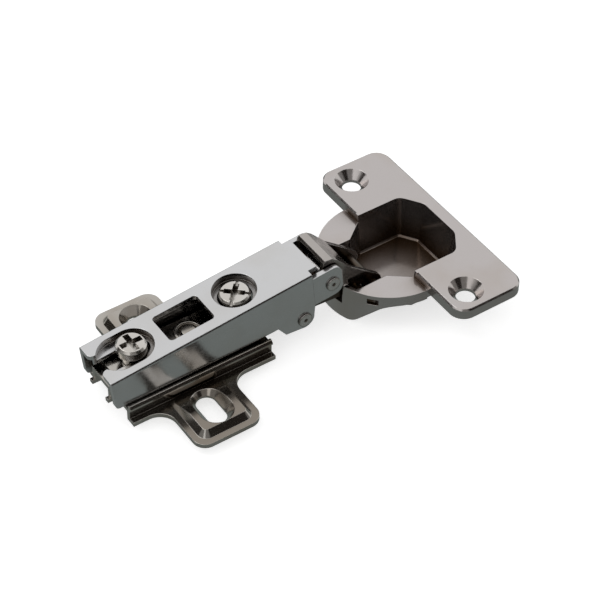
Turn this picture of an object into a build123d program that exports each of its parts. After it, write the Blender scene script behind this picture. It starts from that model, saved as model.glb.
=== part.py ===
from build123d import *
import os
from math import atan, cos, degrees, hypot, radians, sin

# Concealed cup hinge, shown open, on a slide-on mounting plate. Lengths in mm, +Z up.
# The origin lies on the mounting face, midway between the two wing slots.
# +X runs along the arm towards the cup.

# Sheet and fits
ARM_T = 1.3
PLATE_T = 1.2
CUP_T = 1.0
RUN_GAP = 0.05
SIDE_GAP = 0.3
RAIL_GAP = 0.55

# Arm, in its own frame: x along the arm from its rear end, z up from its top face
ARM_X = -21.1
ARM_Z = 13.77
ARM_ANGLE = 5.5
ARM_W = 14.9
ARM_TOP_L = 57.7
ARM_BEND_R = 0.8
REAR_H = 8.8
FRONT_H = 11.8
REAR_CORNER_R = 1.2
EAR_SETBACK = 2.3
EAR_JOG = 0.25
EAR_RELIEF_W = 1.9
EAR_LAP = 1.2
EAR_ABOVE = 4.9
EAR_BELOW = 4.0
EAR_FRONT = 2.9
EAR_CORNER_R = 2.4
LOBE_SETBACK = 13.1
LOBE_R = 2.8
LOBE_STEP = 2.0
WINDOW_W = 9.0
WINDOW_CORNER_R = 1.0
WINDOW_BORDER = 2.5
DISH_R = 5.4
DISH_X0 = 6.4
DISH_X1 = 9.9
DISH_DEPTH = 1.9
DISH_T = 1.0
DISH_LIP = 0.9
MOUTH_CORNER_R = 1.5
LOCK_ARM_X = 9.8
OVERLAY_SETBACK = 6.5
OVERLAY_HOLE_R = 5.5
COLLAR_DEPTH = 2.0
COLLAR_LIP = 0.8

# Four pivots: two on the arm, two on the cup; the link joins the first of each pair
A1_REACH = 3.27
A1_DROP = 6.75
A2_BACK = 8.86
A2_DROP = 13.31
LINK_FORWARD = 12.26
LINK_FALL = 9.09
C1_X = -8.42
C1_Z = -4.84
C2_X = -12.88
C2_Z = -4.61
ARM_PIN_R = 1.4
CUP_PIN_R = 1.2
RIVET_HEAD_R = 1.85
RIVET_HEAD_H = 0.5
DIMPLE_R = 0.45
DIMPLE_DEPTH = 0.4

# Links
LINK_T = 1.2
LINK_EYE_R = 2.6
WEB_BACK = 1.2
WEB_FRONT = 1.4
WEB_RISE = 6.7
WEB_REACH = 6.4
WEB_FOOT = 0.2
CHEEK_WAIST = 0.45
CHEEK_THROAT = 1.4
CHEEK_BACK = 2.4
INNER_EYE_R = 2.2
INNER_BAR_H = 3.6
PIVOT_PLAY = 1.1
EYE_WALL = 0.9
EYE_SHIFT_X = 0.502
EYE_SHIFT_Z = 0.819

# Mounting plate
SLOT_PITCH = 32.0
SLOT_W = 5.0
SLOT_L = 9.5
WING_W = 17.6
WING_Y = 25.4
WING_TIP_R = 3.4
WING_ROOT_R = 4.6
STRIP_Y = 10.15
PLATE_REAR = 17.5
LOBE_CLEAR = 3.0
RAIL_TOP = 10.4
RAIL_BEND_R = 0.7
SHOULDER_Z = 4.0
BEAD_GAP = 0.35
BEAD_OUT = 0.6
BEAD_RISE = 1.1
BEAD_W = 1.2
PAD_Z = 2.9
PAD_RIM = 1.6
PAD_CORNER_R = 2.4
PAD_ANGLE = 38.0
PAD_DIP = 1.3
FUNNEL = 1.7

# Screws
LOCK_R = 2.4
LOCK_HEAD_R = 3.7
LOCK_HEAD_H = 2.5
LOCK_CHAMFER = 0.6
LOCK_LIFT = 0.6
LOCK_TAIL = 2.0
LOCK_CROSS_R = 2.8
LOCK_CROSS_W = 1.5
LOCK_CROSS_DEPTH = 1.6
OVERLAY_SCREW_R = 3.9
OVERLAY_SINK = 0.5
OVERLAY_CHAMFER = 0.5
NECK_R = 2.2
FOOT_R = 3.7
FOOT_H = 1.2
OVERLAY_CROSS_R = 2.6
OVERLAY_CROSS_W = 1.4
OVERLAY_CROSS_DEPTH = 2.0
OVERLAY_SLIT_W = 0.7
OVERLAY_SLIT_DEPTH = 0.8
OVERLAY_CROSS_ANGLE = 45.0
DEPTH_IN = 1.5

# Cup, in its own frame: x and y from the cup centre, z from the flange face
CUP_R = 17.5
FLANGE_L = 60.6
FLANGE_X0 = -0.5
FLANGE_X1 = 19.5
FLANGE_RIM = 3.0
FLANGE_CORNER_R = 4.0
FLANGE_EDGE_BEVEL = 0.45
HOLE_PITCH = 48.0
HOLE_X = 6.0
HOLE_R = 2.45
SINK_R = 4.45
SINK_DEPTH = 2.2
SINK_WALL = 0.6
BOWL_Y = 12.0
BOWL_X = 16.0
BOWL_CORNER_X = 12.2
BOWL_CORNER_Y = 6.4
BOWL_CORNER_R = 3.0
BOWL_FLOOR_BEVEL = 0.4
BOWL_DRAFT = 1.6
BOWL_FRONT_X = -0.9
BOWL_THROAT_X = -6.0
GATE_X = -8.8
GATE_GAP = 0.1
SHELF_DROP = 2.15
SKIRT_Z = -5.1
SKIRT_Y0 = 7.7
SKIRT_Y1 = 14.2
SKIRT_CURVE_R = 4.0
SKIRT_HOLE_X = -12.8
SKIRT_HOLE_Z = -4.2
SKIRT_HOLE_L = 2.0
SKIRT_HOLE_H = 1.7
CUP_BOTTOM = -12.5
NOTCH_Y = 4.75
NOTCH_Z = -8.0
NOTCH_DEPTH = 4.0

# Closing spring, clamp strip and its rivet
SPRING_T = 0.6
SPRING_Y = 3.6
SPRING_GAP = 1.6
SPRING_NOSE = 1.2
SPRING_DROP = 5.6
SPRING_FOLD = 0.8
SPRING_TAIL_L = 6.1
CLAMP_T = 1.2
CLAMP_GAP = 0.2
CLAMP_DROP = 4.6
CLAMP_X0 = -19.8
CLAMP_X1 = 8.0
CLAMP_FOOT = 0.8
CLAMP_FOOT_H = 1.0
RIVET_X = 4.0
RIVET_R = 2.0
RIVET_RIM_R = 3.5
RIVET_RIM_W = 0.6
RIVET_RIM_H = 0.7
RIVET_GROOVE = 0.4
RIVET_DOME_ANGLE = 40.0
RIVET_TAIL_R = 2.6

FAR = 200.0
SNAP = 0.01
SLOPE = radians(ARM_ANGLE)
ARM_FRAME = Location((ARM_X, 0, ARM_Z), (0, -ARM_ANGLE, 0))


def arm_to_world(x, z):
    """World x and z of a point of the arm frame."""
    return ARM_X + x * cos(SLOPE) - z * sin(SLOPE), ARM_Z + x * sin(SLOPE) + z * cos(SLOPE)


# Places along the arm, worked out from its length
EAR_X = ARM_TOP_L - EAR_SETBACK
LOBE_X = ARM_TOP_L - LOBE_SETBACK
OVERLAY_X = LOBE_X - OVERLAY_SETBACK
WINDOW_X0 = DISH_X1 + DISH_R + WINDOW_BORDER
WINDOW_X1 = OVERLAY_X - OVERLAY_HOLE_R - WINDOW_BORDER
A1_X = ARM_TOP_L + A1_REACH
A1_Z = -A1_DROP
A2_X = A1_X - A2_BACK
A2_Z = -A2_DROP
LOW_Z = A2_Z - LOBE_R
EAR_Y = ARM_W / 2 - EAR_JOG
EAR_IN = EAR_Y - ARM_T
LINK_Y = EAR_IN - SIDE_GAP
INNER_HALF_W = LINK_Y - LINK_T - SIDE_GAP
LOCK_X, LOCK_TOP_Z = arm_to_world(LOCK_ARM_X, 0)

# The cup hangs on the outer link
LINK_L = hypot(LINK_FORWARD, LINK_FALL)
LINK_END_X = A1_X + LINK_FORWARD
LINK_END_Z = A1_Z - LINK_FALL
C1_WORLD_X, C1_WORLD_Z = arm_to_world(LINK_END_X, LINK_END_Z)
CUP_X = C1_WORLD_X - C1_X
CUP_Z = C1_WORLD_Z - C1_Z
CUP_FRAME = Location((CUP_X, 0, CUP_Z))
PIN_SPAN = hypot(C1_X - C2_X, C1_Z - C2_Z)
C2_ARM_X = LINK_END_X + (C2_X - C1_X) * cos(SLOPE) + (C2_Z - C1_Z) * sin(SLOPE)
C2_ARM_Z = LINK_END_Z - (C2_X - C1_X) * sin(SLOPE) + (C2_Z - C1_Z) * cos(SLOPE)
EYE_X = A2_X + EYE_SHIFT_X
EYE_Z = A2_Z + EYE_SHIFT_Z

# The floor of the bowl is one sheet thick, and its walls lean inwards
BOWL_DEPTH = -CUP_BOTTOM - CUP_T
BOWL_TAPER = degrees(atan(BOWL_DRAFT / BOWL_DEPTH))

# The gate of the cup lets the ears and their rivet heads pass
GATE_Y = EAR_Y + RIVET_HEAD_H + GATE_GAP

# The rail fits inside the arm, ends short of its lobes and guides the neck of the overlay screw
RAIL_Y = ARM_W / 2 - ARM_T - RAIL_GAP
BEAD_Y = ARM_W / 2 + BEAD_GAP + BEAD_W
SHOULDER_Y = BEAD_Y - BEAD_OUT
CLAMP_Y = RAIL_Y - PLATE_T - CLAMP_GAP
PLATE_FRONT = arm_to_world(LOBE_X, LOW_Z)[0] - LOBE_CLEAR
RAIL_ARM_Z = (RAIL_TOP - arm_to_world(OVERLAY_X, 0)[1]) / cos(SLOPE)
NECK_X = arm_to_world(OVERLAY_X, RAIL_ARM_Z)[0]


def side_face(points):
    """Closed outline in the X Z plane, facing the near side."""
    return Plane.XZ * make_face(Polyline(*points, close=True))


def across(face, y0, y1):
    """Flat piece between two values of y, from a face in the X Z plane."""
    return extrude(Pos(0, y1, 0) * face, y1 - y0)


def side_sheet(points, y0, y1):
    """Flat piece between two values of y, from its corner points."""
    return across(side_face(points), y0, y1)


def side_round(x, z, r, y0, y1):
    """Round bar along y between two values of y."""
    return extrude(Plane(origin=(x, y1, z), x_dir=(1, 0, 0), z_dir=(0, -1, 0)) * Circle(r), y1 - y0)


def upright(x, y, r, z0, z1):
    """Round bar along z between two heights."""
    return extrude(Pos(x, y, z0) * Circle(r), z1 - z0)


def block(x0, x1, y0, y1, z0, z1):
    """Box between corner values."""
    centre = ((x0 + x1) / 2, (y0 + y1) / 2, (z0 + z1) / 2)
    return Location(centre) * Box(x1 - x0, y1 - y0, z1 - z0)


def both(shape):
    """The piece and its mirror image across the X Z plane."""
    return shape + mirror(shape, Plane.XZ)


def mirrored(points):
    """Closed outline from its +y half, which starts and ends on the middle line."""
    return points + [(x, -y) for x, y in reversed(points) if abs(y) > SNAP]


def cross_recess(r, depth, z, width):
    """Cross-shaped driver recess cut down from height z."""
    one = block(-r, r, -width / 2, width / 2, z - depth, z)
    two = block(-width / 2, width / 2, -r, r, z - depth, z)
    return one + two


def wing_pad():
    """Raised pad of one wing on the +y side; its inner half dips towards the rail."""
    y_mid = SLOT_PITCH / 2
    y_tip = WING_Y - PAD_RIM
    half = WING_W / 2 - PAD_RIM
    length = y_tip - SHOULDER_Y
    middle = Pos(0, (SHOULDER_Y + y_tip) / 2, 0)
    foot = Pos(0, 0, PLATE_T) * (middle * RectangleRounded(2 * half, length, PAD_CORNER_R))
    pad = extrude(foot, PAD_Z - PLATE_T, taper=PAD_ANGLE)
    dip = [(y_mid, PAD_Z), (SHOULDER_Y, PAD_Z - PAD_DIP), (SHOULDER_Y, PAD_Z)]
    plane = Plane(origin=(-half, 0, 0), x_dir=(0, 1, 0), z_dir=(1, 0, 0))
    pad -= extrude(plane * make_face(Polyline(*dip, close=True)), 2 * half)
    under = middle * Rectangle(2 * half - PLATE_T, length - PLATE_T)
    hollow = extrude(under, PAD_Z - PLATE_T - PAD_DIP)
    return pad, hollow


def wing_slot():
    """Funnel-shaped screw slot of one wing, with the metal drawn down around it."""
    y_mid = SLOT_PITCH / 2
    lip = PLATE_T / 2
    angle = degrees(atan(FUNNEL / (PAD_Z - lip)))
    narrow = Pos(0, y_mid, 0) * SlotOverall(SLOT_L, SLOT_W, rotation=90)
    wide = Pos(0, y_mid, 0) * SlotOverall(SLOT_L + 2 * FUNNEL, SLOT_W + 2 * FUNNEL, rotation=90)
    seat = extrude(wide, PAD_Z - PAD_DIP)
    hole = extrude(narrow, PLATE_T) + extrude(Pos(0, 0, lip) * narrow, PAD_Z - lip, taper=-angle)
    return seat, hole


def rail_section():
    """Half section of the hat-shaped rail on the +y side, and the room under it."""
    bead_top = SHOULDER_Z + BEAD_RISE
    outer = [
        (0, 0), (SHOULDER_Y, 0), (SHOULDER_Y, SHOULDER_Z - BEAD_OUT), (BEAD_Y, SHOULDER_Z),
        (BEAD_Y, bead_top - BEAD_OUT), (BEAD_Y - BEAD_OUT, bead_top), (BEAD_Y - BEAD_W, bead_top),
        (BEAD_Y - BEAD_W, SHOULDER_Z), (RAIL_Y, SHOULDER_Z), (RAIL_Y, RAIL_TOP - RAIL_BEND_R),
        (RAIL_Y - RAIL_BEND_R, RAIL_TOP), (0, RAIL_TOP),
    ]
    low = SHOULDER_Z - PLATE_T
    room = [
        (0, 0), (SHOULDER_Y - PLATE_T, 0), (SHOULDER_Y - PLATE_T, low), (RAIL_Y - PLATE_T, low),
        (RAIL_Y - PLATE_T, RAIL_TOP - PLATE_T), (0, RAIL_TOP - PLATE_T),
    ]
    return outer, room


def make_plate():
    """Stamped mounting plate: base, wings and the hat-shaped rail under the arm."""
    length = PLATE_FRONT + PLATE_REAR
    strip = Pos((PLATE_FRONT - PLATE_REAR) / 2, 0) * Rectangle(length, 2 * STRIP_Y)
    outline = strip + Rectangle(WING_W, 2 * WING_Y)
    tips = [v for v in outline.vertices() if abs(abs(v.Y) - WING_Y) < SNAP]
    outline = fillet(tips, WING_TIP_R)
    on_strip = [v for v in outline.vertices() if abs(abs(v.Y) - STRIP_Y) < SNAP]
    roots = [v for v in on_strip if abs(abs(v.X) - WING_W / 2) < SNAP]
    outline = fillet(roots, WING_ROOT_R)
    pad, hollow = wing_pad()
    seat, hole = wing_slot()
    plate = extrude(outline, PLATE_T) + both(pad) - both(hollow) + both(seat)
    outer, room = rail_section()
    plane = Plane(origin=(-PLATE_REAR, 0, 0), x_dir=(0, 1, 0), z_dir=(1, 0, 0))
    plate += extrude(plane * make_face(Polyline(*mirrored_section(outer), close=True)), length)
    plate -= extrude(plane * make_face(Polyline(*mirrored_section(room), close=True)), length)
    plate -= both(hole)
    top_low = RAIL_TOP - PLATE_T
    slot_r = NECK_R + SIDE_GAP
    slot_x = NECK_X - DEPTH_IN
    plate -= upright(slot_x, 0, slot_r, top_low, RAIL_TOP)
    plate -= block(slot_x, PLATE_FRONT, -slot_r, slot_r, top_low, RAIL_TOP)
    plate -= upright(LOCK_X, 0, LOCK_R + RUN_GAP, top_low, RAIL_TOP)
    plate -= upright(RIVET_X, 0, RIVET_R, top_low, RAIL_TOP)
    return plate


def mirrored_section(points):
    """Closed section across the hinge from its +y half."""
    return points + [(-y, z) for y, z in reversed(points) if abs(y) > SNAP]


def make_clamp_strip():
    """Channel strip under the rail that takes the lock screw; its rear feet show behind the rail."""
    top = RAIL_TOP - PLATE_T
    low = top - CLAMP_DROP
    inner = CLAMP_Y - CLAMP_T
    strip = block(CLAMP_X0, CLAMP_X1, -CLAMP_Y, CLAMP_Y, top - CLAMP_T, top)
    leg = block(CLAMP_X0, CLAMP_X1, inner, CLAMP_Y, low, top)
    foot = block(CLAMP_X0 - CLAMP_FOOT, CLAMP_X0, inner, CLAMP_Y, low, low + CLAMP_FOOT_H)
    strip += both(leg + foot)
    strip -= upright(LOCK_X, 0, LOCK_R + RUN_GAP, top - CLAMP_T, top)
    strip -= upright(RIVET_X, 0, RIVET_R, top - CLAMP_T, top)
    return strip


def make_strip_rivet():
    """Domed rivet that holds the clamp strip to the rail, seen through the arm window."""
    low = RAIL_TOP - PLATE_T - CLAMP_T
    top = RAIL_TOP + RIVET_RIM_H
    floor = top - RIVET_GROOVE
    dome_r = RIVET_RIM_R - 2 * RIVET_RIM_W
    rivet = upright(0, 0, RIVET_R, low, RAIL_TOP)
    rivet += upright(0, 0, RIVET_RIM_R, RAIL_TOP, top)
    rivet -= upright(0, 0, RIVET_RIM_R - RIVET_RIM_W, floor, top)
    rivet += extrude(Pos(0, 0, floor) * Circle(dome_r), RIVET_RIM_H, taper=RIVET_DOME_ANGLE)
    rivet += upright(0, 0, RIVET_TAIL_R, low - RIVET_RIM_H, low)
    return Pos(RIVET_X, 0, 0) * rivet


def make_lock_screw():
    """Cross-recess pan-head screw that clamps the arm on the rail."""
    seat = LOCK_TOP_Z - DISH_DEPTH * cos(SLOPE) + LOCK_LIFT
    top = seat + LOCK_HEAD_H
    low = RAIL_TOP - PLATE_T - CLAMP_T - LOCK_TAIL
    head = upright(0, 0, LOCK_HEAD_R, seat, top)
    head = chamfer(head.faces().sort_by(Axis.Z)[-1].edges(), LOCK_CHAMFER)
    screw = upright(0, 0, LOCK_R, low, seat) + head
    screw -= cross_recess(LOCK_CROSS_R, LOCK_CROSS_DEPTH, top, LOCK_CROSS_W)
    return Pos(LOCK_X, 0, 0) * screw


def make_overlay_screw():
    """Adjusting screw in the arm; its neck runs in the front slot of the rail."""
    neck_top = RAIL_ARM_Z + RAIL_GAP
    neck_low = RAIL_ARM_Z - PLATE_T - RAIL_GAP
    top = -OVERLAY_SINK
    body = upright(0, 0, OVERLAY_SCREW_R, neck_top, top)
    body = chamfer(body.faces().sort_by(Axis.Z)[-1].edges(), OVERLAY_CHAMFER)
    recess = cross_recess(OVERLAY_CROSS_R, OVERLAY_CROSS_DEPTH, top, OVERLAY_CROSS_W)
    recess += cross_recess(OVERLAY_SCREW_R, OVERLAY_SLIT_DEPTH, top, OVERLAY_SLIT_W)
    body -= Rot(0, 0, OVERLAY_CROSS_ANGLE) * recess
    neck = upright(0, 0, NECK_R, neck_low, neck_top)
    foot = upright(0, 0, FOOT_R, neck_low - FOOT_H, neck_low)
    return ARM_FRAME * (Pos(OVERLAY_X, 0, 0) * (body + neck + foot))


def arm_channel():
    """Bent channel with its side outline: sloping lower edge, rounded rear corner and front lobes."""
    half = ARM_W / 2
    section = fillet(Rectangle(ARM_W, 2 * FAR).vertices(), ARM_BEND_R)
    core = Pos(0, -ARM_T) * Rectangle(ARM_W - 2 * ARM_T, 2 * FAR)
    plane = Plane(origin=(0, 0, -FAR), x_dir=(0, 1, 0), z_dir=(1, 0, 0))
    channel = extrude(plane * (section - core), ARM_TOP_L)
    wall = [
        (0, ARM_T), (ARM_TOP_L, ARM_T), (ARM_TOP_L, -ARM_T), (EAR_X, -ARM_T), (EAR_X, A2_Z + LOBE_R),
        (A2_X + LOBE_R, A2_Z), (A2_X, LOW_Z), (LOBE_X + LOBE_STEP, LOW_Z + LOBE_STEP / 2),
        (LOBE_X, -FRONT_H), (LOBE_X - LOBE_STEP, -FRONT_H), (0, -REAR_H),
    ]
    outline = side_face(wall)
    corner = [v for v in outline.vertices() if abs(v.X) < SNAP and v.Z < -ARM_T]
    outline = fillet(corner, REAR_CORNER_R)
    keep = across(outline, -half, half) + side_round(A2_X, A2_Z, LOBE_R, -half, half)
    return channel & keep


def arm_ear():
    """Front ear on the +y side, offset inwards by the jog, with rounded front corners."""
    front = A1_X + EAR_FRONT
    rear = EAR_X - EAR_LAP
    top = A1_Z + EAR_ABOVE
    low = A1_Z - EAR_BELOW
    outline = side_face([(rear, low), (front, low), (front, top), (rear, top)])
    corners = [v for v in outline.vertices() if abs(v.X - front) < SNAP]
    return across(fillet(corners, EAR_CORNER_R), EAR_IN, EAR_Y)


def make_arm():
    """Stamped channel arm with its window, screw dishes, lower lobes and front ears."""
    half = ARM_W / 2
    arm = arm_channel()
    arm -= both(block(EAR_X, ARM_TOP_L, half - EAR_RELIEF_W, half, -ARM_T, 0))
    arm += both(arm_ear())
    middle = Pos((WINDOW_X0 + WINDOW_X1) / 2, 0, -ARM_T)
    arm -= extrude(middle * RectangleRounded(WINDOW_X1 - WINDOW_X0, WINDOW_W, WINDOW_CORNER_R), ARM_T)
    dish_low = -DISH_DEPTH - DISH_T
    dish_mid = (DISH_X0 + DISH_X1) / 2
    run = DISH_X1 - DISH_X0
    lip_r = DISH_R + DISH_LIP
    arm += extrude(Pos(dish_mid, 0, dish_low) * SlotOverall(run + 2 * lip_r, 2 * lip_r), -dish_low)
    arm -= extrude(Pos(dish_mid, 0, -DISH_DEPTH) * SlotOverall(run + 2 * DISH_R, 2 * DISH_R), DISH_DEPTH)
    arm -= extrude(Pos(0, 0, dish_low) * mouth_outline(), -dish_low)
    collar_low = -COLLAR_DEPTH - ARM_T
    arm += upright(OVERLAY_X, 0, OVERLAY_HOLE_R + COLLAR_LIP, collar_low, 0)
    arm -= upright(OVERLAY_X, 0, OVERLAY_HOLE_R, -COLLAR_DEPTH, 0)
    arm -= upright(OVERLAY_X, 0, OVERLAY_SCREW_R + SIDE_GAP, collar_low, 0)
    arm -= side_round(A1_X, A1_Z, ARM_PIN_R, -half, half)
    arm -= side_round(A2_X, A2_Z, ARM_PIN_R, -half, half)
    return ARM_FRAME * arm


def mouth_outline():
    """Open slot for the lock screw, with its corners rounded at the rear end of the arm."""
    mouth = LOCK_R + SIDE_GAP
    end = LOCK_ARM_X + DEPTH_IN + SIDE_GAP
    flare = mouth + MOUTH_CORNER_R
    slot = Pos(end / 2, 0) * Rectangle(end, 2 * mouth) + Pos(end, 0) * Circle(mouth)
    bell = Pos(MOUTH_CORNER_R / 2, 0) * Rectangle(MOUTH_CORNER_R, 2 * flare)
    bell -= Pos(MOUTH_CORNER_R, flare) * Circle(MOUTH_CORNER_R)
    bell -= Pos(MOUTH_CORNER_R, -flare) * Circle(MOUTH_CORNER_R)
    return slot + bell


def make_arm_pin(x, z, outer_y):
    """Riveted pivot pin through both arm walls, with a dimple in each head."""
    end = outer_y + RIVET_HEAD_H
    pin = side_round(x, z, ARM_PIN_R, -outer_y, outer_y)
    head = side_round(x, z, RIVET_HEAD_R, outer_y, end)
    dimple = side_round(x, z, DIMPLE_R, end - DIMPLE_DEPTH, end)
    return ARM_FRAME * (pin + both(head) - both(dimple))


def make_spring():
    """Closing leaf spring folded under the top of the arm."""
    top = -ARM_T
    low = top - SPRING_T
    x0 = OVERLAY_X + OVERLAY_HOLE_R + SPRING_GAP
    nose = EAR_X + SPRING_NOSE
    tail = EAR_X - SPRING_TAIL_L
    leaf = [
        (x0, top), (EAR_X, top), (nose, top - SPRING_FOLD), (nose, low - 2 * SPRING_FOLD),
        (tail, top - SPRING_DROP), (tail, top - SPRING_DROP + SPRING_T),
        (nose - SPRING_T, low - SPRING_FOLD - SPRING_T / 2),
        (nose - SPRING_T, top - SPRING_FOLD - SPRING_T / 3),
        (EAR_X - SPRING_T / 2, low), (x0, low),
    ]
    return ARM_FRAME * side_sheet(leaf, -SPRING_Y, SPRING_Y)


def along_link(s, offset):
    """Point of the outer link at distance s from the arm pivot, offset towards its web."""
    dx = LINK_FORWARD / LINK_L
    dz = -LINK_FALL / LINK_L
    return A1_X + s * dx - offset * dz, A1_Z + s * dz + offset * dx


def make_outer_link():
    """Bridge-shaped outer link: two cheeks joined by a web over the top."""
    t = LINK_T
    crest = A1_Z + WEB_RISE
    web_top = [
        (A1_X - WEB_BACK, crest - t / 2), (A1_X - WEB_BACK + t / 2, crest), (A1_X + WEB_FRONT, crest - t / 3),
        (A1_X + 2 * WEB_FRONT, crest - 1.4 * t), (A1_X + WEB_REACH, A1_Z + WEB_FOOT),
    ]
    web_low = [
        (A1_X + WEB_REACH - 0.75 * t, A1_Z + WEB_FOOT - 0.6 * t),
        (A1_X + 2 * WEB_FRONT - 0.7 * t, crest - 2.1 * t), (A1_X + WEB_FRONT - t / 3, crest - 1.3 * t),
        (A1_X - WEB_BACK, crest - 1.2 * t),
    ]
    pass_by = LINK_L - PIN_SPAN - CUP_PIN_R
    cheek = [(A1_X - CHEEK_BACK, A1_Z + CHEEK_WAIST)] + web_top + [
        along_link(LINK_L, LINK_EYE_R), along_link(LINK_L, -CHEEK_WAIST), along_link(pass_by, -CHEEK_WAIST),
        along_link(pass_by / 2, -CHEEK_THROAT), along_link(CHEEK_BACK, -CHEEK_BACK + SIDE_GAP),
        along_link(0, -LINK_EYE_R),
    ]
    inner = LINK_Y - t
    side = side_sheet(cheek, inner, LINK_Y)
    side += side_round(A1_X, A1_Z, LINK_EYE_R, inner, LINK_Y)
    side += side_round(LINK_END_X, LINK_END_Z, LINK_EYE_R, inner, LINK_Y)
    link = both(side) + side_sheet(web_top + web_low, -LINK_Y, LINK_Y)
    link -= side_round(A1_X, A1_Z, ARM_PIN_R + RUN_GAP, -LINK_Y, LINK_Y)
    link -= side_round(LINK_END_X, LINK_END_Z, CUP_PIN_R + RUN_GAP, -LINK_Y, LINK_Y)
    return ARM_FRAME * link


def make_inner_link():
    """Solid inner link; its eye at the arm has play because that pivot is left open."""
    eye_hole = ARM_PIN_R + PIVOT_PLAY
    bar_h = INNER_BAR_H / 2
    bar = [
        (EYE_X, EYE_Z + bar_h), (C2_ARM_X, C2_ARM_Z + bar_h),
        (C2_ARM_X, C2_ARM_Z - bar_h), (EYE_X, EYE_Z - bar_h),
    ]
    link = side_sheet(bar, -INNER_HALF_W, INNER_HALF_W)
    link += side_round(EYE_X, EYE_Z, eye_hole + EYE_WALL, -INNER_HALF_W, INNER_HALF_W)
    link += side_round(C2_ARM_X, C2_ARM_Z, INNER_EYE_R, -INNER_HALF_W, INNER_HALF_W)
    link -= side_round(EYE_X, EYE_Z, eye_hole, -INNER_HALF_W, INNER_HALF_W)
    link -= side_round(C2_ARM_X, C2_ARM_Z, CUP_PIN_R + RUN_GAP, -INNER_HALF_W, INNER_HALF_W)
    return ARM_FRAME * link


def bowl_face(skin):
    """Outline of the bowl at the flange, or of its outer skin."""
    far = BOWL_X + skin
    wide = BOWL_Y + skin
    gate = GATE_Y + skin
    half = [
        (far, 0), (far, BOWL_CORNER_Y + skin / 2), (BOWL_CORNER_X + skin, wide), (BOWL_FRONT_X, wide),
        (BOWL_THROAT_X, gate + SIDE_GAP), (GATE_X, gate), (GATE_X, 0),
    ]
    face = make_face(Polyline(*mirrored(half), close=True))
    corners = [v for v in face.vertices() if v.X > BOWL_CORNER_X - SNAP and abs(v.Y) > SNAP]
    return fillet(corners, BOWL_CORNER_R + skin)


def gate_block(skin):
    """Straight passage from the bowl through the arm side of the cup, or its outer skin."""
    gate = GATE_Y + skin
    return block(-CUP_R - CUP_T, BOWL_THROAT_X + skin, -gate, gate, -BOWL_DEPTH - skin, 0)


def bowl_room():
    """Room inside the bowl: drafted walls, bevelled floor edge and the open gate."""
    bowl = extrude(bowl_face(0), -BOWL_DEPTH, taper=BOWL_TAPER)
    floor_edges = bowl.faces().sort_by(Axis.Z)[0].edges()
    far_edges = [e for e in floor_edges if e.center().X > 0]
    bowl = chamfer(far_edges, BOWL_FLOOR_BEVEL)
    return bowl + gate_block(0)


def make_flange():
    """T flange pressed from sheet, with a turned-down rim and broken upper edge."""
    mid = Pos((FLANGE_X0 + FLANGE_X1) / 2, 0, 0)
    width = FLANGE_X1 - FLANGE_X0
    flange = extrude(mid * RectangleRounded(width, FLANGE_L, FLANGE_CORNER_R), -FLANGE_RIM)
    flange = chamfer(flange.faces().sort_by(Axis.Z)[-1].edges(), FLANGE_EDGE_BEVEL)
    room = RectangleRounded(width - 2 * CUP_T, FLANGE_L - 2 * CUP_T, FLANGE_CORNER_R - CUP_T)
    flange -= extrude(Pos(0, 0, -CUP_T) * (mid * room), -FLANGE_RIM)
    bosses = Pos(HOLE_X, HOLE_PITCH / 2, 0) * Circle(SINK_R + SINK_WALL)
    return flange + both(extrude(Pos(0, 0, -CUP_T) * bosses, CUP_T - FLANGE_RIM))


def skirt_cut():
    """Room below the skirt: it is deepest in the middle and rises in a curve to both sides."""
    under = CUP_BOTTOM - CUP_T
    low = [
        (0, under), (0, CUP_BOTTOM), (SKIRT_Y0, CUP_BOTTOM), (SKIRT_Y1, SKIRT_Z), (FAR, SKIRT_Z), (FAR, under),
    ]
    plane = Plane(origin=(-FAR, 0, 0), x_dir=(0, 1, 0), z_dir=(1, 0, 0))
    face = make_face(Polyline(*low, close=True))
    bends = [v for v in face.vertices() if SNAP < v.X < FAR / 2]
    return both(extrude(plane * fillet(bends, SKIRT_CURVE_R), 2 * FAR))


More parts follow.
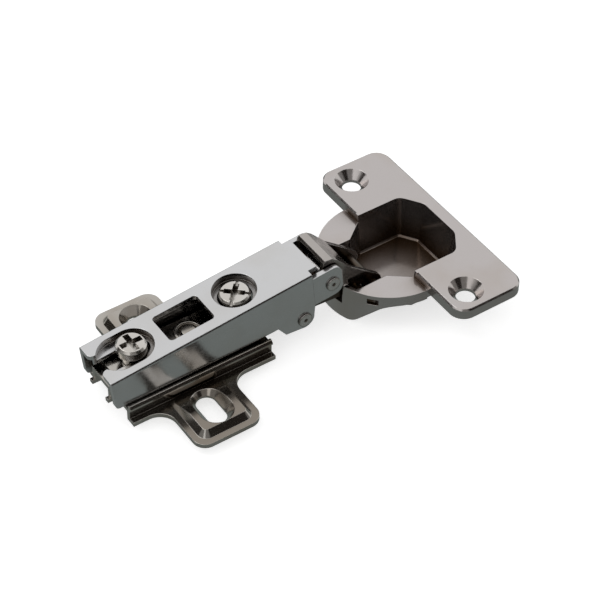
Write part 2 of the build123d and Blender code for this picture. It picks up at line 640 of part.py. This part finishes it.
def make_cup():
    """Drawn cup with its T-shaped flange, bowl, side shelves and round skirt."""
    wall_r = CUP_R - CUP_T
    shelf_low = -SHELF_DROP - CUP_T
    inner_keep = upright(0, 0, wall_r, CUP_BOTTOM, 0)
    shell = extrude(bowl_face(CUP_T), CUP_BOTTOM, taper=BOWL_TAPER) + gate_block(CUP_T)
    shell &= upright(0, 0, CUP_R, CUP_BOTTOM, 0) - block(-FAR, FLANGE_X0, -FAR, FAR, -SHELF_DROP, 0)
    lobes = upright(0, 0, CUP_R, CUP_BOTTOM, 0) & block(-FAR, FLANGE_X0, -FAR, FAR, CUP_BOTTOM, -SHELF_DROP)
    lobes -= upright(0, 0, wall_r, CUP_BOTTOM, shelf_low)
    lobes -= skirt_cut() - inner_keep
    shell -= skirt_cut() & block(-FAR, BOWL_THROAT_X + CUP_T, -FAR, FAR, CUP_BOTTOM, SKIRT_Z)
    cup = make_flange() + lobes + shell
    cup -= bowl_room() & (inner_keep + block(FLANGE_X0, FAR, -FAR, FAR, -BOWL_DEPTH, 0))
    cup -= block(-FAR, -CUP_R + NOTCH_DEPTH, -NOTCH_Y, NOTCH_Y, NOTCH_Z, 0)
    hole_y = HOLE_PITCH / 2
    sink_angle = degrees(atan((SINK_R - HOLE_R) / SINK_DEPTH))
    sink = extrude(Pos(HOLE_X, hole_y, 0) * Circle(SINK_R), -SINK_DEPTH, taper=sink_angle)
    cup -= both(upright(HOLE_X, hole_y, HOLE_R, -FLANGE_RIM, 0) + sink)
    x0 = SKIRT_HOLE_X - SKIRT_HOLE_L / 2
    z0 = SKIRT_HOLE_Z - SKIRT_HOLE_H / 2
    cup -= both(block(x0, x0 + SKIRT_HOLE_L, GATE_Y + 2 * CUP_T, CUP_R, z0, z0 + SKIRT_HOLE_H))
    cheek = GATE_Y + CUP_T
    cup -= side_round(C1_X, C1_Z, CUP_PIN_R, -cheek, cheek)
    cup -= side_round(C2_X, C2_Z, CUP_PIN_R, -cheek, cheek)
    return CUP_FRAME * cup


def make_cup_pin(x, z):
    """Plain pivot pin between the cheeks of the cup."""
    cheek = GATE_Y + CUP_T
    return CUP_FRAME * side_round(x, z, CUP_PIN_R, -cheek, cheek)


PIECES = {
    "mounting_plate": make_plate(),
    "clamp_strip": make_clamp_strip(),
    "strip_rivet": make_strip_rivet(),
    "lock_screw": make_lock_screw(),
    "overlay_screw": make_overlay_screw(),
    "arm": make_arm(),
    "outer_arm_pin": make_arm_pin(A1_X, A1_Z, EAR_Y),
    "inner_arm_pin": make_arm_pin(A2_X, A2_Z, ARM_W / 2),
    "closing_spring": make_spring(),
    "outer_link": make_outer_link(),
    "inner_link": make_inner_link(),
    "cup": make_cup(),
    "outer_cup_pin": make_cup_pin(C1_X, C1_Z),
    "inner_cup_pin": make_cup_pin(C2_X, C2_Z),
}

os.makedirs("parts", exist_ok=True)
for name, piece in PIECES.items():
    export_step(piece, f"parts/{name}.step")
    print(name, len(piece.solids()), round(piece.volume, 1))
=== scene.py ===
# %% [markdown]
# # A concealed cup hinge, dressed for its portrait
# The solid model of the hinge is already made: every stamped sheet, pin and screw comes in as its own
# mesh. This lesson gives those meshes their look: plated steel, softened edges, a studio and a camera.
# The size of the hinge is read before anything is added.

import math

import bpy
from mathutils import Matrix, Vector


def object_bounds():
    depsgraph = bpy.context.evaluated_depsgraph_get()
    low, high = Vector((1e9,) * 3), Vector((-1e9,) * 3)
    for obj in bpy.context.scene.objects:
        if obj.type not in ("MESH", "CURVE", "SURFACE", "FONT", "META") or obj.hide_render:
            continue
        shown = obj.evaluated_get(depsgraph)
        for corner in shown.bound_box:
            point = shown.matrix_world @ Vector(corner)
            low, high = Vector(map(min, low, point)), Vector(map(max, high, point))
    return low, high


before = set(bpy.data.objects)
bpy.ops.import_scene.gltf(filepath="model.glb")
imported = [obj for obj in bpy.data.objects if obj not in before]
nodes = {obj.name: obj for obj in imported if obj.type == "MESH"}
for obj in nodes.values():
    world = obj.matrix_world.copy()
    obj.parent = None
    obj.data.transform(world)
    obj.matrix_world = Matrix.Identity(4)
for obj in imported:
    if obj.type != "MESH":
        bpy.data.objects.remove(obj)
first_low, first_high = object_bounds()
MM = 0.001
print("solids loaded:", len(nodes))

# %% [markdown]
# ## Camera
# The photograph was taken from the front left and about 44 degrees above the table, with a long lens. A
# camera could be aimed with angles, but three directions are easier to check: right, up and back. Written
# as the columns of a matrix they give the rotation directly, and a small roll about the view line levels
# the picture as in the photograph. The lens is long, so parallel edges stay almost parallel.

# %% Camera at the photo's angle
AZIMUTH = math.radians(-34.4)
ELEVATION = math.radians(44.49)
ROLL = math.radians(0.54)
DISTANCE = 487.79 * MM
LOOK_AT = Vector((35.67, 0.0, 3.96)) * MM
LENS = 120.09
SENSOR = 36.0
NEAR_CLIP = 0.01
FAR_CLIP = 50.0

back = Vector(
    (
        math.sin(AZIMUTH) * math.cos(ELEVATION),
        -math.cos(AZIMUTH) * math.cos(ELEVATION),
        math.sin(ELEVATION),
    )
)
level = Vector((math.cos(AZIMUTH), math.sin(AZIMUTH), 0.0))
rise = back.cross(level)
right = level * math.cos(ROLL) + rise * math.sin(ROLL)
up = rise * math.cos(ROLL) - level * math.sin(ROLL)
turn = Matrix((right, up, back)).transposed().to_4x4()

lens_data = bpy.data.cameras.new("photo_camera")
lens_data.sensor_width = SENSOR
lens_data.lens = LENS
lens_data.clip_start = NEAR_CLIP
lens_data.clip_end = FAR_CLIP
camera = bpy.data.objects.new("photo_camera", lens_data)
bpy.context.scene.collection.objects.link(camera)
camera.matrix_world = Matrix.Translation(LOOK_AT + back * DISTANCE) @ turn
bpy.context.scene.camera = camera
print("camera distance in mm:", round(DISTANCE / MM, 1))

# %% [markdown]
# ## White room
# Polished metal has hardly any colour of its own: it shows what stands around it. A photographer
# therefore lights a hinge with a white room above and grey cards below and beside it. The white room
# could be built from walls, but a plain white world does the same with no mesh at all. It is white for
# the camera and for mirror rays, and gentler where it only lights things, so that the floor doesn't wash
# out.

# %% White room
ROOM_LIGHT = 0.55
ROOM_SEEN = 1.0

scene = bpy.context.scene
scene.view_settings.view_transform = "Standard"
world = bpy.data.worlds.new("white_room")
scene.world = world
world.use_nodes = True
room = world.node_tree
room.nodes.clear()
path = room.nodes.new("ShaderNodeLightPath")
seen = room.nodes.new("ShaderNodeMath")
seen.operation = "MAXIMUM"
room.links.new(path.outputs["Is Camera Ray"], seen.inputs[0])
room.links.new(path.outputs["Is Glossy Ray"], seen.inputs[1])
clear = room.nodes.new("ShaderNodeMath")
clear.operation = "MAXIMUM"
room.links.new(seen.outputs[0], clear.inputs[0])
room.links.new(path.outputs["Is Transmission Ray"], clear.inputs[1])
strength = room.nodes.new("ShaderNodeMapRange")
strength.inputs["To Min"].default_value = ROOM_LIGHT
strength.inputs["To Max"].default_value = ROOM_SEEN
room.links.new(clear.outputs[0], strength.inputs["Value"])
sky = room.nodes.new("ShaderNodeBackground")
sky.inputs["Color"].default_value = (1.0, 1.0, 1.0, 1.0)
room.links.new(strength.outputs["Result"], sky.inputs["Strength"])
room_end = room.nodes.new("ShaderNodeOutputWorld")
room.links.new(sky.outputs[0], room_end.inputs["Surface"])
print("world:", world.name)

# %% [markdown]
# ## Floor
# The floor is one large pale sheet just under the lowest point of the cup. White paint alone would render
# grey under this soft light, and a plain white world would show no shadow. So the paint also gives off
# some light of its own: it reads white in the picture and still darkens softly where the hinge keeps the
# light away.

# %% Pale floor
FLOOR_GAP = 0.05 * MM
FLOOR_HALF = 3.0
FLOOR_PAINT = (0.9, 0.9, 0.9, 1.0)
FLOOR_ROUGHNESS = 0.9
FLOOR_GLOW = 0.62
floor_z = first_low.z - FLOOR_GAP


def sheet_of(name, corners):
    mesh = bpy.data.meshes.new(name)
    mesh.from_pydata(corners, [], [(0, 1, 2, 3)])
    made = bpy.data.objects.new(name, mesh)
    bpy.context.scene.collection.objects.link(made)
    return made


def lying_sheet(name, half, z):
    return sheet_of(name, [(-half, -half, z), (half, -half, z), (half, half, z), (-half, half, z)])


floor_paint = bpy.data.materials.new("floor_paint")
floor_paint.use_nodes = True
floor_shader = floor_paint.node_tree.nodes["Principled BSDF"]
floor_shader.inputs["Base Color"].default_value = FLOOR_PAINT
floor_shader.inputs["Roughness"].default_value = FLOOR_ROUGHNESS
floor_shader.inputs["Emission Color"].default_value = (1.0, 1.0, 1.0, 1.0)
floor_shader.inputs["Emission Strength"].default_value = FLOOR_GLOW
floor = lying_sheet("floor", FLOOR_HALF, floor_z)
floor.data.materials.append(floor_paint)
print("floor height in mm:", round(floor_z / MM, 2))

# %% [markdown]
# ## Grey cards
# The upright faces of the hinge look down at the table and out at the room. On a white table they would
# turn white and the shape would vanish, so cards of a dull grey lie and stand where those faces look. Two
# narrow, almost black cards stand before the wide grey ones at the front and on the left: they draw the
# dark lines along the bends. The cards show in the metal only. They are hidden from the camera and cast
# no shadow.

# %% Cards seen only in the metal
TABLE_REACH = 1.2
TABLE_LIFT = 0.02 * MM
TABLE_GREY = (0.205, 0.225, 0.215, 1.0)
WIDE_GREY = (0.28, 0.275, 0.268, 1.0)
FRONT_BLACK = (0.03, 0.027, 0.024, 1.0)
LEFT_BLACK = (0.04, 0.036, 0.032, 1.0)
FRONT_TOP = 1.7
LEFT_TOP = 0.95


def add_card(made, colour):
    paint = bpy.data.materials.new(made.name + "_paint")
    paint.use_nodes = True
    tree = paint.node_tree
    tree.nodes.clear()
    glow = tree.nodes.new("ShaderNodeEmission")
    glow.inputs["Color"].default_value = colour
    end = tree.nodes.new("ShaderNodeOutputMaterial")
    tree.links.new(glow.outputs[0], end.inputs["Surface"])
    made.data.materials.append(paint)
    made.visible_camera = False
    made.visible_shadow = False
    made.visible_diffuse = False
    made.visible_transmission = False


def standing_card(name, start, end, top, colour):
    corners = [(*start, floor_z), (*end, floor_z), (*end, top), (*start, top)]
    add_card(sheet_of(name, corners), colour)


add_card(lying_sheet("table_card", TABLE_REACH, floor_z + TABLE_LIFT), TABLE_GREY)
standing_card("front_card", (-0.9, -1.02), (2.2, -1.02), FRONT_TOP, WIDE_GREY)
standing_card("front_dark", (0.1, -1.0), (0.85, -1.0), FRONT_TOP, FRONT_BLACK)
standing_card("left_card", (-1.22, -0.6), (-1.22, 1.45), LEFT_TOP, WIDE_GREY)
standing_card("left_dark", (-1.2, 0.5), (-1.2, 1.45), LEFT_TOP, LEFT_BLACK)

# %% [markdown]
# ## Lamps
# One large soft lamp hangs high behind the hinge on its left, and a weaker one fills from the front left.
# Large lamps give soft edges to the shadow. The first also shows in the metal as a soft highlight; the
# second is hidden from mirror rays, so that it lights the floor without leaving a square in the plating.

# %% Soft lamps
CENTRE = Vector((30.0, 0.0, 5.0)) * MM


def soft_lamp(name, spot, size, power):
    lamp = bpy.data.lights.new(name, "AREA")
    lamp.shape = "SQUARE"
    lamp.size = size
    lamp.energy = power
    made = bpy.data.objects.new(name, lamp)
    made.location = spot
    made.rotation_mode = "QUATERNION"
    made.rotation_quaternion = (CENTRE - made.location).to_track_quat("-Z", "Y")
    bpy.context.scene.collection.objects.link(made)
    return made


key = soft_lamp("key_lamp", Vector((-0.45, 0.35, 0.9)), 0.5, 1.2)
fill = soft_lamp("fill_lamp", Vector((-0.9, -0.5, 0.9)), 0.6, 0.8)
fill.visible_glossy = False
print("lamps:", key.name, fill.name)

# %% [markdown]
# ## Tools for node groups
# All the metals of the hinge share the same faults and the same painted shade, so both are built once as
# node groups and placed in each material. A group needs named sockets going in and out. Two small helpers
# do the rest: one mixes two colours, the other stretches a range of values to run from nought to one.

# %% Helpers for groups
COLOUR = "NodeSocketColor"
VALUE = "NodeSocketFloat"
DIRECTION = "NodeSocketVector"


def new_group(name, inputs, outputs):
    made = bpy.data.node_groups.new(name, "ShaderNodeTree")
    for label, kind, value in inputs:
        socket = made.interface.new_socket(name=label, in_out="INPUT", socket_type=kind)
        socket.default_value = value
    for label, kind in outputs:
        made.interface.new_socket(name=label, in_out="OUTPUT", socket_type=kind)
    return made, made.nodes.new("NodeGroupInput"), made.nodes.new("NodeGroupOutput")


def colour_mix(tree, amount, first, second):
    mix = tree.nodes.new("ShaderNodeMix")
    mix.data_type = "RGBA"
    tree.links.new(amount, mix.inputs[0])
    tree.links.new(first, mix.inputs[6])
    tree.links.new(second, mix.inputs[7])
    return mix.outputs[2]


def remap(tree, source, low, high):
    made = tree.nodes.new("ShaderNodeMapRange")
    made.inputs["From Min"].default_value = low
    made.inputs["From Max"].default_value = high
    tree.links.new(source, made.inputs["Value"])
    return made


print("socket kinds:", COLOUR, VALUE, DIRECTION)

# %% [markdown]
# ## Plated steel
# Nickel plating is a mirror with small faults: a fine grain in the sheet, a faint warm stain, edges rubbed
# brighter. Stain and grain come from noise. No stamped edge is perfectly sharp either. A bevel modifier
# finds nothing to round here, because the surfaces of an imported solid meet without sharing edges, so a
# Bevel node rounds the normal instead and draws the thin line of light along each edge. Where that rounded
# normal and the true one differ there is an edge, and the plating is given its edge colour: brighter wear
# on most pieces, a dark painted shade on the rims of the pin heads. The shader itself stays in each
# material.

# %% Shared group for the plating
SHEET_EDGE = 0.25 * MM
STAIN_SCALE = 70.0

plating, given, result = new_group(
    "plating_faults",
    (
        ("Metal", COLOUR, (0.6, 0.58, 0.55, 1.0)),
        ("Stain", COLOUR, (0.5, 0.45, 0.4, 1.0)),
        ("Edge Wear And Shade", COLOUR, (0.7, 0.69, 0.68, 1.0)),
        ("Gloss Low", VALUE, 0.12),
        ("Gloss High", VALUE, 0.3),
        ("Grain", VALUE, 900.0),
        ("Edge Radius", VALUE, SHEET_EDGE),
    ),
    (("Color", COLOUR), ("Roughness", VALUE), ("Height", VALUE), ("Normal", DIRECTION)),
)
where = plating.nodes.new("ShaderNodeTexCoord")
cloud = plating.nodes.new("ShaderNodeTexNoise")
cloud.inputs["Scale"].default_value = STAIN_SCALE
cloud.inputs["Detail"].default_value = 3.0
plating.links.new(where.outputs["Object"], cloud.inputs["Vector"])
grain = plating.nodes.new("ShaderNodeTexNoise")
grain.inputs["Detail"].default_value = 4.0
plating.links.new(where.outputs["Object"], grain.inputs["Vector"])
plating.links.new(given.outputs["Grain"], grain.inputs["Scale"])

surface = plating.nodes.new("ShaderNodeNewGeometry")
rounded = plating.nodes.new("ShaderNodeBevel")
rounded.samples = 8
plating.links.new(given.outputs["Edge Radius"], rounded.inputs["Radius"])
likeness = plating.nodes.new("ShaderNodeVectorMath")
likeness.operation = "DOT_PRODUCT"
plating.links.new(surface.outputs["Normal"], likeness.inputs[0])
plating.links.new(rounded.outputs["Normal"], likeness.inputs[1])
# Edge mask: brighter wear on the sheets, painted shade on the dark rims of the pin heads.
edge_wear_and_shade = remap(plating, likeness.outputs["Value"], 0.98, 0.86)

stain_patch = remap(plating, cloud.outputs["Fac"], 0.42, 0.72)
stained = colour_mix(plating, stain_patch.outputs["Result"], given.outputs["Metal"], given.outputs["Stain"])
worn_and_shaded = colour_mix(plating, edge_wear_and_shade.outputs["Result"], stained, given.outputs["Edge Wear And Shade"])
gloss_grain = remap(plating, grain.outputs["Fac"], 0.3, 0.7)
plating.links.new(given.outputs["Gloss Low"], gloss_grain.inputs["To Min"])
plating.links.new(given.outputs["Gloss High"], gloss_grain.inputs["To Max"])
plating.links.new(worn_and_shaded, result.inputs["Color"])
plating.links.new(gloss_grain.outputs["Result"], result.inputs["Roughness"])
plating.links.new(grain.outputs["Fac"], result.inputs["Height"])
plating.links.new(rounded.outputs["Normal"], result.inputs["Normal"])
print("plating nodes:", len(plating.nodes))

# %% [markdown]
# ## Painted shade in the nooks
# The inside of the cup hardly sees the room, and the corners of a hinge lie in shade. That shade is painted
# into the colour here. It could be painted by hand, but an Ambient Occlusion node already tells how much
# open air lies around each point, and this group lays a dark painted shade where there is little. One input
# clears the painted shade away, another makes the shaded colour less of a metal than the plating, so that
# it shows some brown of its own. Two versions are made: one counts every piece nearby, the other only the
# piece itself, so that the white table under the cup doesn't darken its outside.

# %% Shared groups for the painted shade


def painted_shade_group(name, own_piece_only):
    made, given, result = new_group(
        name,
        (
            ("Metal", COLOUR, (0.6, 0.58, 0.55, 1.0)),
            ("Shade Colour", COLOUR, (0.1, 0.085, 0.075, 1.0)),
            ("Reach", VALUE, 3.0 * MM),
            ("Closed", VALUE, 0.3),
            ("Open", VALUE, 0.75),
            ("Shade Cleared", VALUE, 0.0),
            ("Shade Metallic", VALUE, 1.0),
        ),
        (("Color", COLOUR), ("Metallic", VALUE)),
    )
    # Painted shade: the less open air lies around a point, the darker its colour.
    nook = made.nodes.new("ShaderNodeAmbientOcclusion")
    nook.samples = 16
    nook.only_local = own_piece_only
    made.links.new(given.outputs["Reach"], nook.inputs["Distance"])
    air = made.nodes.new("ShaderNodeMapRange")
    made.links.new(nook.outputs["AO"], air.inputs["Value"])
    made.links.new(given.outputs["Closed"], air.inputs["From Min"])
    made.links.new(given.outputs["Open"], air.inputs["From Max"])
    unshaded = made.nodes.new("ShaderNodeMath")
    unshaded.operation = "MAXIMUM"
    made.links.new(air.outputs["Result"], unshaded.inputs[0])
    made.links.new(given.outputs["Shade Cleared"], unshaded.inputs[1])
    mixed = colour_mix(made, unshaded.outputs[0], given.outputs["Shade Colour"], given.outputs["Metal"])
    made.links.new(mixed, result.inputs["Color"])
    shine = made.nodes.new("ShaderNodeMapRange")
    made.links.new(unshaded.outputs[0], shine.inputs["Value"])
    made.links.new(given.outputs["Shade Metallic"], shine.inputs["To Min"])
    made.links.new(shine.outputs["Result"], result.inputs["Metallic"])
    return made


shade_from_all_pieces = painted_shade_group("painted_shade_near_all_pieces", False)
shade_from_own_piece = painted_shade_group("painted_shade_on_own_piece", True)
print("painted shade groups:", shade_from_all_pieces.name, shade_from_own_piece.name)

# %% [markdown]
# ## One recipe for every metal
# Each metal of the hinge is the same chain: the plating group gives colour, roughness, grain and rounded
# normals, the shade group paints a dark shade into the nooks, and one Principled shader puts them together.
# Writing the chain as a function keeps the metals alike and leaves only their own numbers to choose. Rubbed
# edges start out a little brighter than the metal.

# %% Recipe for a metal
GRAIN_DEPTH = 0.02 * MM
RUBBED_GAIN = 1.12


def metal(name, colour, stain, gloss, grain_scale, bump, shade_colour, reach, air, group):
    made = bpy.data.materials.new(name)
    made.use_nodes = True
    tree = made.node_tree
    shader = tree.nodes["Principled BSDF"]
    faults = tree.nodes.new("ShaderNodeGroup")
    faults.name = "faults"
    faults.node_tree = plating
    faults.inputs["Metal"].default_value = colour
    faults.inputs["Stain"].default_value = stain
    faults.inputs["Edge Wear And Shade"].default_value = [min(1.0, RUBBED_GAIN * part) for part in colour]
    faults.inputs["Gloss Low"].default_value = gloss[0]
    faults.inputs["Gloss High"].default_value = gloss[1]
    faults.inputs["Grain"].default_value = grain_scale
    nooks = tree.nodes.new("ShaderNodeGroup")
    nooks.name = "nooks"
    nooks.node_tree = group
    nooks.inputs["Shade Colour"].default_value = shade_colour
    nooks.inputs["Reach"].default_value = reach * MM
    nooks.inputs["Closed"].default_value = air[0]
    nooks.inputs["Open"].default_value = air[1]
    relief = tree.nodes.new("ShaderNodeBump")
    relief.inputs["Strength"].default_value = bump
    relief.inputs["Distance"].default_value = GRAIN_DEPTH
    tree.links.new(faults.outputs["Color"], nooks.inputs["Metal"])
    tree.links.new(nooks.outputs["Color"], shader.inputs["Base Color"])
    tree.links.new(nooks.outputs["Metallic"], shader.inputs["Metallic"])
    tree.links.new(faults.outputs["Roughness"], shader.inputs["Roughness"])
    tree.links.new(faults.outputs["Height"], relief.inputs["Height"])
    tree.links.new(faults.outputs["Normal"], relief.inputs["Normal"])
    tree.links.new(relief.outputs["Normal"], shader.inputs["Normal"])
    return made


print("recipe:", metal.__name__)

# %% [markdown]
# ## The stamped sheets
# Arm, plate, cup and outer link are stamped from sheet steel and nickel plated. The nickel is nearly
# neutral on the arm and warmer on the others. The painted shade reaches furthest in the deep bowl of the
# cup.
# Gloss is given as the lowest and highest roughness, reach in millimetres.

# %% Nickel for the sheets
# Colours of the painted shade in the nooks: brown on most pieces, darker in the cup and on the outer link.
BROWN_PAINTED_SHADE = (0.075, 0.06, 0.047, 1.0)
CUP_PAINTED_SHADE = (0.062, 0.036, 0.018, 1.0)

sheet_nickel = metal(
    "sheet_nickel",
    colour=(0.57, 0.57, 0.575, 1.0),
    stain=(0.53, 0.52, 0.51, 1.0),
    gloss=(0.15, 0.22),
    grain_scale=700.0,
    bump=0.05,
    shade_colour=BROWN_PAINTED_SHADE,
    reach=4.0,
    air=(0.3, 0.75),
    group=shade_from_all_pieces,
)
plate_nickel = metal(
    "plate_nickel",
    colour=(0.43, 0.41, 0.38, 1.0),
    stain=(0.31, 0.27, 0.225, 1.0),
    gloss=(0.14, 0.18),
    grain_scale=900.0,
    bump=0.02,
    shade_colour=BROWN_PAINTED_SHADE,
    reach=3.0,
    air=(0.25, 0.85),
    group=shade_from_own_piece,
)
cup_nickel = metal(
    "cup_nickel",
    colour=(0.475, 0.445, 0.435, 1.0),
    stain=(0.44, 0.4, 0.375, 1.0),
    gloss=(0.12, 0.2),
    grain_scale=600.0,
    bump=0.05,
    shade_colour=CUP_PAINTED_SHADE,
    reach=16.0,
    air=(0.5, 0.98),
    group=shade_from_own_piece,
)
link_nickel = metal(
    "link_nickel",
    colour=(0.4, 0.375, 0.355, 1.0),
    stain=(0.34, 0.315, 0.295, 1.0),
    gloss=(0.15, 0.24),
    grain_scale=700.0,
    bump=0.05,
    shade_colour=CUP_PAINTED_SHADE,
    reach=8.0,
    air=(0.45, 0.9),
    group=shade_from_all_pieces,
)
sheet_metals = (sheet_nickel, plate_nickel, cup_nickel, link_nickel)
print("sheets:", [made.name for made in sheet_metals])

# %% [markdown]
# ## Screws, pins and spring
# The screws have a warmer plating than the arm, with a finer grain. The pins of the arm are turned from bar
# and keep the finest grain of all. The pins and the link inside the cup get a dark colour that paints the
# shade they lie in, and the spring is bare blued strip.

# %% Steel for the small pieces
screw_nickel = metal(
    "screw_nickel",
    colour=(0.58, 0.56, 0.53, 1.0),
    stain=(0.5, 0.47, 0.43, 1.0),
    gloss=(0.14, 0.26),
    grain_scale=1200.0,
    bump=0.05,
    shade_colour=BROWN_PAINTED_SHADE,
    reach=2.0,
    air=(0.2, 0.75),
    group=shade_from_all_pieces,
)
pin_steel = metal(
    "pin_steel",
    colour=(0.58, 0.565, 0.55, 1.0),
    stain=(0.5, 0.48, 0.46, 1.0),
    gloss=(0.18, 0.34),
    grain_scale=1500.0,
    bump=0.1,
    shade_colour=BROWN_PAINTED_SHADE,
    reach=2.0,
    air=(0.3, 0.75),
    group=shade_from_all_pieces,
)
# Dark colour that paints the shade inside the cup on its pins and inner link.
cup_shade_steel = metal(
    "cup_shade_steel",
    colour=(0.1, 0.088, 0.075, 1.0),
    stain=(0.07, 0.06, 0.05, 1.0),
    gloss=(0.25, 0.4),
    grain_scale=1100.0,
    bump=0.1,
    shade_colour=CUP_PAINTED_SHADE,
    reach=10.0,
    air=(0.3, 0.9),
    group=shade_from_all_pieces,
)
spring_steel = metal(
    "spring_steel",
    colour=(0.36, 0.36, 0.38, 1.0),
    stain=(0.3, 0.28, 0.27, 1.0),
    gloss=(0.22, 0.4),
    grain_scale=900.0,
    bump=0.1,
    shade_colour=BROWN_PAINTED_SHADE,
    reach=3.0,
    air=(0.3, 0.75),
    group=shade_from_all_pieces,
)
small_metals = (screw_nickel, pin_steel, cup_shade_steel, spring_steel)
print("small pieces:", [made.name for made in small_metals])

# %% [markdown]
# ## Bowl and screw holes of the cup
# The painted shade belongs in the bowl and not in the countersunk screw holes, which are as bright as the
# flange. Both are hollows, so open air alone can't tell them apart, but the holes lie at the ends of the
# flange: the distance from the middle of the hinge clears the painted shade there. In the bowl the painted
# shade is also a little less of a metal than the plating.

# %% Painted shade of the cup
SHADE_CLEAR_START = 16.0 * MM
SHADE_CLEAR_END = 18.0 * MM
BOWL_METALLIC = 0.8
BOWL_SPECULAR = 0.1

cup_tree = cup_nickel.node_tree
cup_place = cup_tree.nodes.new("ShaderNodeTexCoord")
cup_axes = cup_tree.nodes.new("ShaderNodeSeparateXYZ")
cup_tree.links.new(cup_place.outputs["Object"], cup_axes.inputs[0])
across = cup_tree.nodes.new("ShaderNodeMath")
across.operation = "ABSOLUTE"
cup_tree.links.new(cup_axes.outputs["Y"], across.inputs[0])
beyond = remap(cup_tree, across.outputs[0], SHADE_CLEAR_START, SHADE_CLEAR_END)
cup_tree.links.new(beyond.outputs["Result"], cup_tree.nodes["nooks"].inputs["Shade Cleared"])
cup_tree.nodes["nooks"].inputs["Shade Metallic"].default_value = BOWL_METALLIC
cup_tree.nodes["Principled BSDF"].inputs["Specular IOR Level"].default_value = BOWL_SPECULAR
print("painted shade cleared beyond mm:", round(SHADE_CLEAR_END / MM, 1))

# %% [markdown]
# ## Painted shade on the near wing
# The level faces of the near wing are darker than those of the far one, and its edges stay bright. That
# shade is painted into the colour of the plate. It is laid where two things hold at once: the place lies on
# the near side of the plate, and the face points up. Multiplying the two amounts keeps the slopes of the
# wing free of it.

# %% Painted shade of the plate
# Painted shade on the near wing: where it starts and ends across the plate, and its colour.
WING_SHADE_START = -12.0 * MM
WING_SHADE_END = -17.0 * MM
WING_SHADE = (0.24, 0.212, 0.18, 1.0)

plate_tree = plate_nickel.node_tree
plate_place = plate_tree.nodes.new("ShaderNodeTexCoord")
plate_axes = plate_tree.nodes.new("ShaderNodeSeparateXYZ")
plate_tree.links.new(plate_place.outputs["Object"], plate_axes.inputs[0])
near_side = remap(plate_tree, plate_axes.outputs["Y"], WING_SHADE_START, WING_SHADE_END)
plate_face = plate_tree.nodes.new("ShaderNodeNewGeometry")
facing = plate_tree.nodes.new("ShaderNodeSeparateXYZ")
plate_tree.links.new(plate_face.outputs["Normal"], facing.inputs[0])
level_face = remap(plate_tree, facing.outputs["Z"], 0.93, 0.99)
wing_shade_mask = plate_tree.nodes.new("ShaderNodeMath")
wing_shade_mask.operation = "MULTIPLY"
plate_tree.links.new(near_side.outputs["Result"], wing_shade_mask.inputs[0])
plate_tree.links.new(level_face.outputs["Result"], wing_shade_mask.inputs[1])
plate_faults = plate_tree.nodes["faults"]
wing_shade_rgb = plate_tree.nodes.new("ShaderNodeRGB")
wing_shade_rgb.outputs[0].default_value = WING_SHADE
for label in ("Metal", "Stain"):
    bare = plate_tree.nodes.new("ShaderNodeRGB")
    bare.outputs[0].default_value = plate_faults.inputs[label].default_value
    wing_shaded = colour_mix(plate_tree, wing_shade_mask.outputs[0], bare.outputs[0], wing_shade_rgb.outputs[0])
    plate_tree.links.new(wing_shaded, plate_faults.inputs[label])
print("plate nodes:", len(plate_tree.nodes))

# %% [markdown]
# ## Rims of the riveted heads
# The heads of the two arm pins are hammered over, so their edges are rounded twice as far as those of the
# sheets, and their rims get a dark colour that paints the shade round the heads. The plating group already
# finds edges, so only two of its inputs change.

# %% Rims of the pins
RIVET_EDGE = 0.5 * MM
RIM_SHADE = (0.2, 0.18, 0.16, 1.0)

pin_faults = pin_steel.node_tree.nodes["faults"]
pin_faults.inputs["Edge Radius"].default_value = RIVET_EDGE
pin_faults.inputs["Edge Wear And Shade"].default_value = RIM_SHADE
print("rivet edge in mm:", round(RIVET_EDGE / MM, 2))

# %% [markdown]
# ## Dressing the solids
# Each solid gets one metal. The table below is the whole wardrobe: the rivet and the strip in the rail
# share the plate's nickel, and the pieces inside the cup share the dark steel that paints their shade.

# %% Dress every piece
DRESS = {
    "mounting_plate": plate_nickel,
    "clamp_strip": plate_nickel,
    "strip_rivet": plate_nickel,
    "arm": sheet_nickel,
    "outer_link": link_nickel,
    "cup": cup_nickel,
    "lock_screw": screw_nickel,
    "overlay_screw": screw_nickel,
    "outer_arm_pin": pin_steel,
    "inner_arm_pin": pin_steel,
    "inner_link": cup_shade_steel,
    "outer_cup_pin": cup_shade_steel,
    "inner_cup_pin": cup_shade_steel,
    "closing_spring": spring_steel,
}
for name, solid in nodes.items():
    solid.data.materials.clear()
    solid.data.materials.append(DRESS[name])
print("dressed:", len(DRESS))
